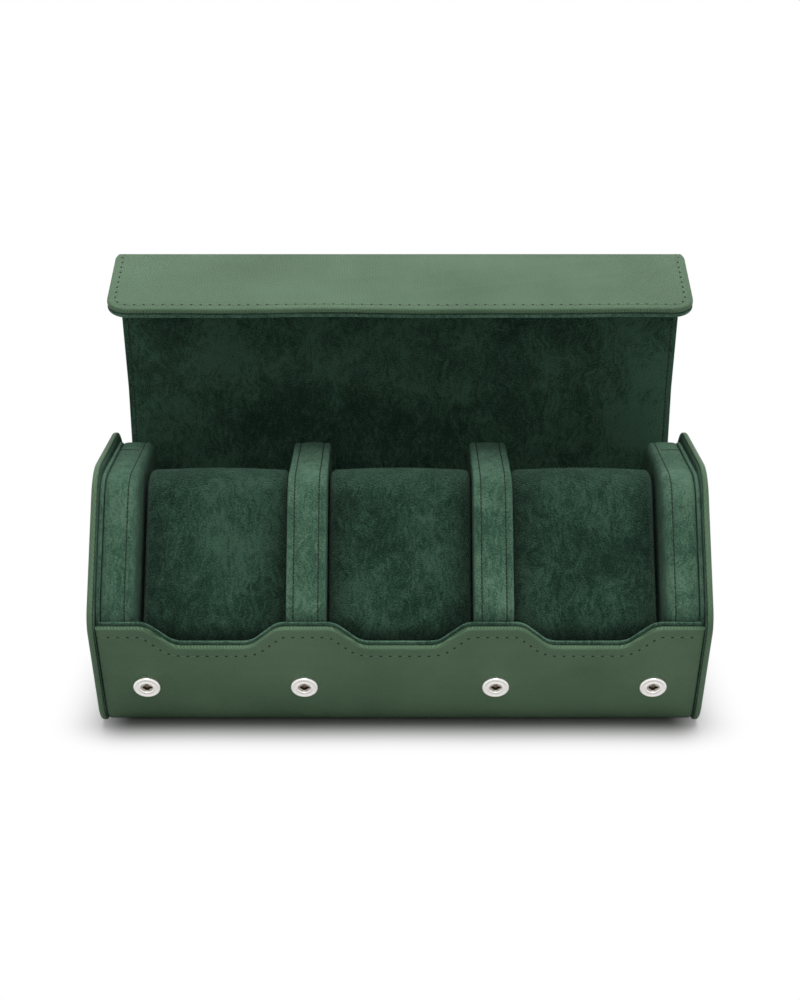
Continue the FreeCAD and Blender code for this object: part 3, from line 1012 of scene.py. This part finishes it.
def fold_stations(index):
    """Stations round a fold of the open lid, as (point, inward, share, reach)."""
    before_turn = open_turns[index - 1] if index else 0.0
    bend = math.radians(open_turns[index] - before_turn)
    before, after = fold_spans[index]
    fold_radius = math.copysign(fold_radii[index], bend)
    tangent = fold_radius * math.tan(bend / 2)
    arc = fold_radius * bend
    arc_start = before - tangent
    start = folds[index] - towards(before_turn) * before
    centre = start + towards(before_turn) * arc_start + left_of(towards(before_turn)) * fold_radius
    total = before + after - 2 * tangent + arc
    stations = []
    for step in range(fold_steps + 1):
        share = step / fold_steps
        reach = total * share
        if reach <= arc_start:
            turn = before_turn
            point = start + towards(turn) * reach
        elif reach >= arc_start + arc:
            turn = open_turns[index]
            point = folds[index] + towards(turn) * (reach - arc_start - arc + tangent)
        else:
            turn = before_turn + math.degrees((reach - arc_start) / fold_radius)
            point = centre - left_of(towards(turn)) * fold_radius
        stations.append((point, left_of(towards(turn)), share, lid_reach(index) - before + reach))
    return stations


def fold_width(index, share):
    """Half the width of the wrap at a place across a fold."""
    before = lid_half_width if index else wrap_half_width
    width = before + (lid_half_width - before) * share
    if index == flap_index:
        width -= crease_narrowing * math.sin(math.pi * share) ** 2
    return width


def fold_seam(index, share):
    """Height at which leather and lining meet across a fold, less where it is pinched."""
    pinch = fold_pinches[index] * (1 - abs(2 * share - 1) ** pinch_power)
    return leather_thickness + (lid_backed_thickness - leather_thickness) * (1 - pinch)


def fold_line(index, stations, side, facing):
    """Points and normals of one row of stitches across a fold."""
    points = []
    normals = []
    for point, inward, share, _ in stations:
        height = stitch_sink
        if facing > 0:
            height = fold_seam(index, share) + lid_lining_thickness - stitch_sink
        spot = point + inward * (height - leather_half)
        points.append(at_x(side * (fold_width(index, share) - lid_stitch_inset), spot))
        normals.append(at_x(0, inward) * facing)
    return points, normals


def lid_fold(index):
    """The leather, suede and side stitches drawn round one fold of the open lid."""
    name = fold_names[index]
    stations = fold_stations(index)

    def bends(piece):
        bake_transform(piece)

    def skin(share):
        return lid_skin(fold_width(index, share), fold_seam(index, share))

    def lining(share):
        return lid_lining(fold_width(index, share), fold_seam(index, share))

    bends(strip(name + "_leather", stations, skin, leather))
    bends(strip(name + "_suede", stations, lining, lid_suede))
    rows = [(-1, "_stitches", thread_material)]
    if not fold_pinches[index]:
        rows.append((1, "_lining_stitches", suede_thread))
    for side, label in sides:
        for facing, title, material in rows:
            line = fold_line(index, stations, side, facing)
            stitches(name + "_" + label + title, *line, bends, material)


def flap_outline(half_width, inset, height):
    """Flat outline of the flap, with rounded free corners and a slight waviness."""
    start = fold_spans[flap_index][1]
    end = flap_length - inset
    side_x = half_width - inset
    corners = rectangle(-side_x, side_x, start, end)
    far = flap_corner_radius - inset
    points = []
    for x, reach in rounded(corners, [0, 0, far, far], side_steps=flap_side_steps):
        away = max(0.0, (reach - start) / (flap_length - start))
        sway = sum(share * math.sin(x / length + shift) for length, shift, share in flap_waves)
        points.append((x, reach, height + flap_waviness * away**2 * sway))
    return points


def flap():
    """The flap's leather, lining and stitches."""
    turn = open_turns[flap_index]
    place = flat_place(folds[flap_index], turn)
    inward = left_of(towards(turn))
    full = backed_thickness - flap_edge_gap
    skin_rings = [
        flap_outline(lid_half_width, inset, height)
        for inset, height in round_profile(full, edge_radius, lining_edge_radius, flap_stitch_inset)
    ]
    skin = make_piece(
        "flap_leather_skin", [[laid(ring, place) for ring in skin_rings]], leather,
        edge_uvs(skin_rings, lid_reach(flap_index)),
    )
    dress(skin, "flap", "flap_leather")
    low = backed_thickness - flap_lining_lap
    full = wrap_thickness + nap - low
    half_width = lid_half_width - flap_lining_set_back
    lining_rings = [
        laid(flap_outline(half_width, inset - flap_lining_reach, low + height), place)
        for inset, height in round_profile(full, lining_edge_radius, lining_edge_radius)
    ]
    lining = make_piece("flap_suede_lining", [lining_rings], painted_lit_rim_suede)
    dress(lining, "flap", "flap_lining")
    start = fold_spans[flap_index][1]
    side_x = lid_half_width - flap_stitch_inset
    outline = flap_outline(lid_half_width, flap_stitch_inset, stitch_sink)
    line = [point for point in outline if point[1] > start + edge_radius]
    open_line = [(side_x, start, stitch_sink)] + line + [(-side_x, start, stitch_sink)]
    flat_stitches("flap_stitches", open_line, place, -inward, "flap", thread_material)
    inner = wrap_thickness + nap - 2 * stitch_sink
    inner_line = [(x, reach, height + inner) for x, reach, height in open_line]
    flat_stitches("flap_lining_stitches", inner_line, place, inward, "flap", suede_thread)


# End caps and padded walls


def sliced(name, outline, profile, side, material, uv=False):
    """A form of section outlines, as a profile of (X, inset)."""
    rings = []
    uv_rings = []
    for x, inset in profile:
        points = outline(inset)
        rings.append([(side * x, p.x, p.y) for p in points])
        uv_rings.append([(p.x + x, p.y) for p in points])
    piece = make_piece(name, [rings], material, uv_rings if uv else None)
    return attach(piece, "base")


def end_cap(name, side):
    """One end cap: leather turned over its edge, and its suede lining."""
    profile = [(cap_inner_x + x, inset) for x, inset in cap_turned_edge]
    for c, s in swings(0, 90, outer_edge_steps):
        profile.append((cap_outer_x - cap_edge_radius * (1 - s), cap_edge_radius * (1 - c)))
    groove = groove_profile(cap_stitch_inset)[::-1]
    profile += [(cap_outer_x - depth, inset) for inset, depth in groove]
    skin = sliced(name + "_cap_leather_skin", cap_outline, profile, side, leather, True)
    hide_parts(name + "_cap_leather")
    outline_stitches(
        name + "_cap_stitches", cap_outline, cap_stitch_inset, side * (cap_outer_x - stitch_sink),
        side, thread_material,
    )
    facing = [(cap_inner_x - x, inset) for x, inset in cap_facing]
    sliced(name + "_cap_facing", cap_outline, facing, side, painted_lit_rim_suede)
    low = end_wall_outer_x + cap_ply_gap
    high = cap_inner_x - cap_facing_depth - cap_ply_gap
    middle = (low + high) / 2
    half = (high - low) / 2
    lining = [(high, cap_ply_reach)]
    for c, s in swings(0, 180, ply_steps):
        lining.append((middle + half * c, cap_ply_round * (1 - s) - nap))
    lining.append((low, cap_ply_reach))
    suede_ply = sliced(name + "_cap_suede", wall_outline, lining, side, painted_lit_rim_suede)
    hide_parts(name + "_cap_lining")


def wall_edge(shoulder, seam):
    """Profile of a wall from its inner face to its sewn band, as (X, inset)."""
    across, down, back = shoulder
    low, high = band_crown_shares
    edge = [(back, inset) for inset in wall_face_insets]
    edge += [(back + across * (1 - c), down * (1 - s)) for c, s in swings(0, 90, round_steps)]
    return edge + [
        (seam - groove_half_width, -band_crown * low),
        (seam, groove_depth * 2),
        (seam + groove_half_width, 0.0),
        (seam + groove_half_width * 3, -band_crown * high),
    ]


def padded_wall(name, side, x_from, x_to, edge, far_edge, seams):
    """One padded wall with a crowned band, and its rows of stitches."""
    near = [(x_from + x, inset) for x, inset in edge]
    far = [(x_to - x, inset) for x, inset in far_edge]
    profile = near + [((near[-1][0] + far[0][0]) / 2, -band_crown)] + far
    wall = sliced(name + "_suede", wall_outline, profile, side, painted_lit_band_suede)
    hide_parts(name + "_cover", name + "_core")
    for title, x in seams:
        outline_stitches(name + title, wall_outline, wall_stitch_sink, side * x, 0, suede_thread)


def walls():
    """The dividers and the padded walls at the ends."""
    divider_edge = wall_edge(divider_shoulder, divider_stitch_inset)
    end_edge = wall_edge(end_wall_shoulder, end_wall_stitch_inset)
    for side, name in sides:
        padded_wall(
            name + "_divider", side, divider_inner_x, divider_outer_x, divider_edge,
            divider_edge[::-1],
            (
                ("_inner_stitches", divider_inner_x + divider_stitch_inset),
                ("_outer_stitches", divider_outer_x - divider_stitch_inset),
            ),
        )
        padded_wall(
            name + "_end_wall", side, end_wall_inner_x, end_wall_outer_x, end_edge, wall_outer_edge,
            (("_stitches", end_wall_inner_x + end_wall_stitch_inset),),
        )
        wall_seam(name, side)


def wall_seam(name, side):
    """The welt, and a crack in painted shade, where the end wall's cover is joined across its top."""
    top = case_height - wrap_thickness - lid_gap + wall_swell
    start = end_wall_inner_x + end_wall_stitch_inset + groove_half_width * 2
    end = end_wall_outer_x - wall_seam_gap
    for label, back, radius, height, material in (
        ("welt", wall_seam_back - welt_back, welt_radius, top, painted_lit_band_suede),
        # The crack is a thin tube in painted shade
        ("crack", wall_seam_back, crack_radius, top + band_crown * crack_lift_share, painted_shade_black),
    ):
        rings = []
        for step in range(seam_steps + 1):
            share = step / seam_steps
            arch = math.sin(math.pi * share) ** 0.5
            x = side * (start + (end - start) * share)
            y = back + share * wall_seam_drift
            size = radius * (wall_seam_end_share + (1 - wall_seam_end_share) * arch)
            flat = size * wall_seam_flatness
            rings.append([(x, y + size * c, height + flat * s) for c, s in circle(seam_sides)])
        title = name + "_end_wall_" + label
        piece = make_piece(title, [rings], material, crease=thread_smooth_angle)
        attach(piece, "base")


# Cushions


lid_down = (front_waist - front_top).normalized()
lid_in = left_of(lid_down)
cushion_toe = meet(
    front_top + lid_in * (cushion_below_lid + cushion_front_radius),
    lid_down,
    front_origin + front_in * (wrap_thickness + cushion_front_gap + cushion_front_radius),
    front_down,
)
cushion_end = (cushion_toe - front_top).dot(lid_down) + cushion_front_radius


def cushion_ring(x, shrink):
    """Rounded section of a cushion, drawn in all round."""
    start = shrink - cushion_above_corner - cushion_swell
    end = cushion_end - shrink
    low = cushion_below_lid + shrink
    high = cushion_below_lid + cushion_depth - shrink
    front = cushion_front_radius - shrink
    rear = cushion_rear_radius - shrink
    radii = [front, front, rear, rear]
    outline = rounded(rectangle(start, end, low, high), radii, wall_corner_steps, cushion_side_steps)
    return [(x, *(front_top + lid_down * p.x + lid_in * p.y)) for p in outline]


def cushion(name, index):
    """One crowned cushion, whose ends draw in towards the walls."""
    half = slot_width / 2 - cushion_side_gap
    profile = list(cushion_end_face)
    for c, s in swings(0, 90, round_steps):
        profile.append((1.0 - cushion_end_radius * (1 - c) / half, cushion_end_radius * (1 - s)))
    profile += cushion_crown
    stations = [(-x, inset) for x, inset in profile] + profile[-2::-1]
    rings = [
        cushion_ring(index * slot_pitch + share * half, inset + cushion_inset)
        for share, inset in stations
    ]
    title = "cushion_" + name + "_suede"
    piece = make_piece(title, [rings], cushion_suede, crease=soft_smooth_angle)
    dress(piece, "cushion_" + name, "cushion_" + name + "_cover", "cushion_" + name + "_core")


# Snap fasteners


snap_inner_x = divider_inner_x + snap_past_slot
snap_outer_x = cap_inner_x - snap_from_cap
snap_places = (-snap_outer_x, -snap_inner_x, snap_inner_x, snap_outer_x)
across_x = Vector((1, 0, 0))


def snap_frames(point, outward):
    """Frames of the four snaps on a panel, as (centre, ahead, up)."""
    up = at_x(0, outward)
    return [(at_x(x, point), up.cross(across_x), up) for x in snap_places]


def lathe(name, profile, frames, body, material, capped=True):
    """Turned pieces at several places, as one object."""
    forms = [
        [
            [centre + (across_x * c + ahead * s) * radius + up * height for c, s in circle(turned_sides)]
            for radius, height in profile
        ]
        for centre, ahead, up in frames
    ]
    caps = (capped, True)
    piece = make_piece(name, forms, material, caps=caps, crease=turned_smooth_angle)
    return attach(piece, body)


def sockets():
    """The four sockets on the front panel, with their springs."""
    frames = snap_frames(front_origin + front_down * snap_drop, -front_in)
    shoulder = socket_height - socket_round
    floor = socket_floor + snap_seat
    rim = [(socket_radius * socket_foot_share, -snap_seat), (socket_radius, snap_seat)]
    rim += [
        (socket_radius - socket_round * (1 - c), shoulder + socket_round * s)
        for c, s in swings(0, 90, rim_steps)
    ]
    rim += [(radius, socket_height - depth) for radius, depth in socket_face]
    rim += [(socket_bore_radius, floor), (turned_centre, floor)]
    piece = lathe("snap_socket_rings", rim, frames, "base", nickel)
    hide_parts("snap_sockets")
    lathe("snap_socket_wells", socket_well, frames, "base", tarnish, capped=False)
    lobes = make_piece(
        "snap_socket_lobes", [lobed_washer(*place) for place in frames], steel,
        caps=(False, False), closed=True,
    )
    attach(lobes, "base")
    springs = make_piece(
        "snap_socket_springs", [spring_ring(*place) for place in frames], steel,
        crease=soft_smooth_angle,
    )
    dress(springs, "base", "socket_springs")


def lobed_washer(centre, ahead, up):
    """The rings of a thin washer in the bore, whose four round lobes grip the stud."""
    rings = []
    high = socket_height - lobe_depth
    low = high - lobe_thickness
    for height, lobe in ((high, 0.0), (high, lobe_size), (low, lobe_size), (low, 0.0)):
        ring = []
        for c, s in circle(turned_sides):
            inner = lobe_root_radius - lobe * abs(2 * s * c) ** lobe_power
            radius = inner if lobe else socket_bore_radius
            ring.append(centre + (across_x * c + ahead * s) * radius + up * height)
        rings.append(ring)
    return rings


def spring_ring(centre, ahead, up):
    """The rings of an open loop of round spring wire, halfway up the bore."""
    middle = centre + up * ((socket_floor + socket_height) / 2)
    loop_radius = socket_bore_radius - spring_inset
    rings = []
    for c, s in swings(*spring_ends, spring_steps):
        out = across_x * c + ahead * s
        rings.append([
            middle + out * (loop_radius + spring_wire_radius * a) + up * (spring_wire_radius * b)
            for a, b in circle(spring_sides)
        ])
    return rings


def studs():
    """The four studs under the flap."""
    low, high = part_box("snap_studs")
    turn = open_turns[flap_index]
    origin = folds[flap_index]
    centre = Vector((low.y + high.y, low.z + high.z)) / (2 * millimetre)
    spot = flat_place(origin, turn)((centre - origin).dot(towards(turn)), wrap_thickness)
    foot, shoulder = stud_foot_heights
    profile = [(stud_flange_radius * stud_foot_share, -snap_seat), (stud_flange_radius, foot)]
    for c, s in swings(0, 90, inner_edge_steps):
        radius = stud_flange_radius - stud_flange_round * (1 - c)
        profile.append((radius, shoulder + (stud_flange_thickness - shoulder) * s))
    profile += stud_post
    frames = snap_frames(spot, left_of(towards(turn)))
    piece = lathe("snap_stud_posts", profile, frames, "flap", nickel)
    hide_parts("snap_studs")


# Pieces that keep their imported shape


def dress_packed_pieces():
    """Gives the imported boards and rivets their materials."""
    for name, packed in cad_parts.items():
        if name.endswith(("_board", "_rivets")):
            packed.data.materials.clear()
            packed.data.materials.append(board if name.endswith("_board") else nickel)


# Stage, light and camera, with the stage's own sizes in metres


case_half_size = (0.098, 0.03, 0)
fade_end = 0.033
floor_half = 6.0
floor_tones = ((0.0, (0.79,) * 3), (1.0, (0.81,) * 3))
floor_bounce = (0.52, 0.52, 0.52, 1)
# Painted shade that darkens the floor near the case: its share and its reach in millimetres
painted_contact_shade = 0.7
painted_contact_reach = 16.0
world_strength = 0.11

# Each lamp's name, strength, turn and spread, in degrees
lamps = (
    ("top_light", 2.35, (4, 4, 0), 50),
    ("back_light", 0.4, (-37, 0, 0), 60),
    ("front_light", 0.68, (65, 0, 0), 30),
)

camera_place = (0.0, -0.7219, 0.28705)
camera_tilt = 73.73
camera_lens = 72.35
camera_sensor = 36.0


def stage_material():
    """A white floor that keeps shadows near the case, deepened by painted shade close to it, and turns to
    pure white further off.
    """
    material, graph, shader, solid = new_material("white_floor")
    pale = graph.ramp(graph.noise(solid, 60, 2), floor_tones)
    # Painted shade: the floor darkens where the case is near
    pale = graph.shaded_crevices(pale, painted_contact_shade, painted_contact_reach)
    seen = graph.seen_rays()
    graph.fill(shader, {
        "Base Color": graph.add("MixRGB", {"Fac": seen, "Color1": floor_bounce, "Color2": pale}),
        "Roughness": 1.0,
        "Specular IOR Level": 0.0,
    })
    beyond = graph.vector_maths("SUBTRACT", graph.vector_maths("ABSOLUTE", solid), case_half_size)
    outside = graph.vector_maths("MAXIMUM", beyond, (0, 0, 0))
    length = graph.add("VectorMath", {0: outside}, "Value", operation="LENGTH")
    share = graph.maths("MULTIPLY", seen, graph.smooth_range(length, 0.0, fade_end))
    glow = graph.add("Emission", {"Color": (1, 1, 1, 1)})
    mix = graph.add("MixShader", {0: share, 1: shader.outputs["BSDF"], 2: glow})
    graph.fill(graph.nodes["Material Output"], {"Surface": mix})
    return material


def stage():
    """The floor under the case."""
    mesh = bpy.data.meshes.new("floor")
    corners = [(-1, -1), (1, -1), (1, 1), (-1, 1)]
    mesh.from_pydata([(x * floor_half, y * floor_half, 0) for x, y in corners], [], [(0, 1, 2, 3)])
    mesh.materials.append(stage_material())
    add_object("floor", mesh)


def lights():
    """Soft light from above and in front, and a pale surrounding."""
    for name, strength, turn, spread in lamps:
        data = bpy.data.lights.new(name, "SUN")
        data.energy = strength
        data.angle = math.radians(spread)
        add_object(name, data).rotation_euler = [math.radians(angle) for angle in turn]
    world = bpy.data.worlds.new("surroundings")
    bpy.context.scene.world = world
    world.use_nodes = True
    graph = Graph(world.node_tree)
    inputs = {"Value": graph.seen_rays(), "To Min": world_strength, "To Max": 1.0}
    strength = graph.add("MapRange", inputs, "Result")
    graph.fill(graph.nodes["Background"], {"Color": (1, 1, 1, 1), "Strength": strength})


def camera():
    """The camera at the photograph's angle."""
    data = bpy.data.cameras.new("camera")
    data.lens = camera_lens
    data.sensor_width = camera_sensor
    made = add_object("camera", data)
    made.location = camera_place
    made.rotation_euler = (math.radians(camera_tilt), 0, 0)
    bpy.context.scene.camera = made


dress_packed_pieces()
front_and_base()
for panel_index in range(len(lid_panels)):
    lid_panel(panel_index)
for fold_index in range(len(fold_names)):
    lid_fold(fold_index)
flap()
end_cap("left", -1)
end_cap("right", 1)
walls()
cushion("left", -1)
cushion("middle", 0)
cushion("right", 1)
sockets()
studs()
stage()
lights()
camera()
bpy.context.scene.view_settings.view_transform = "Standard"
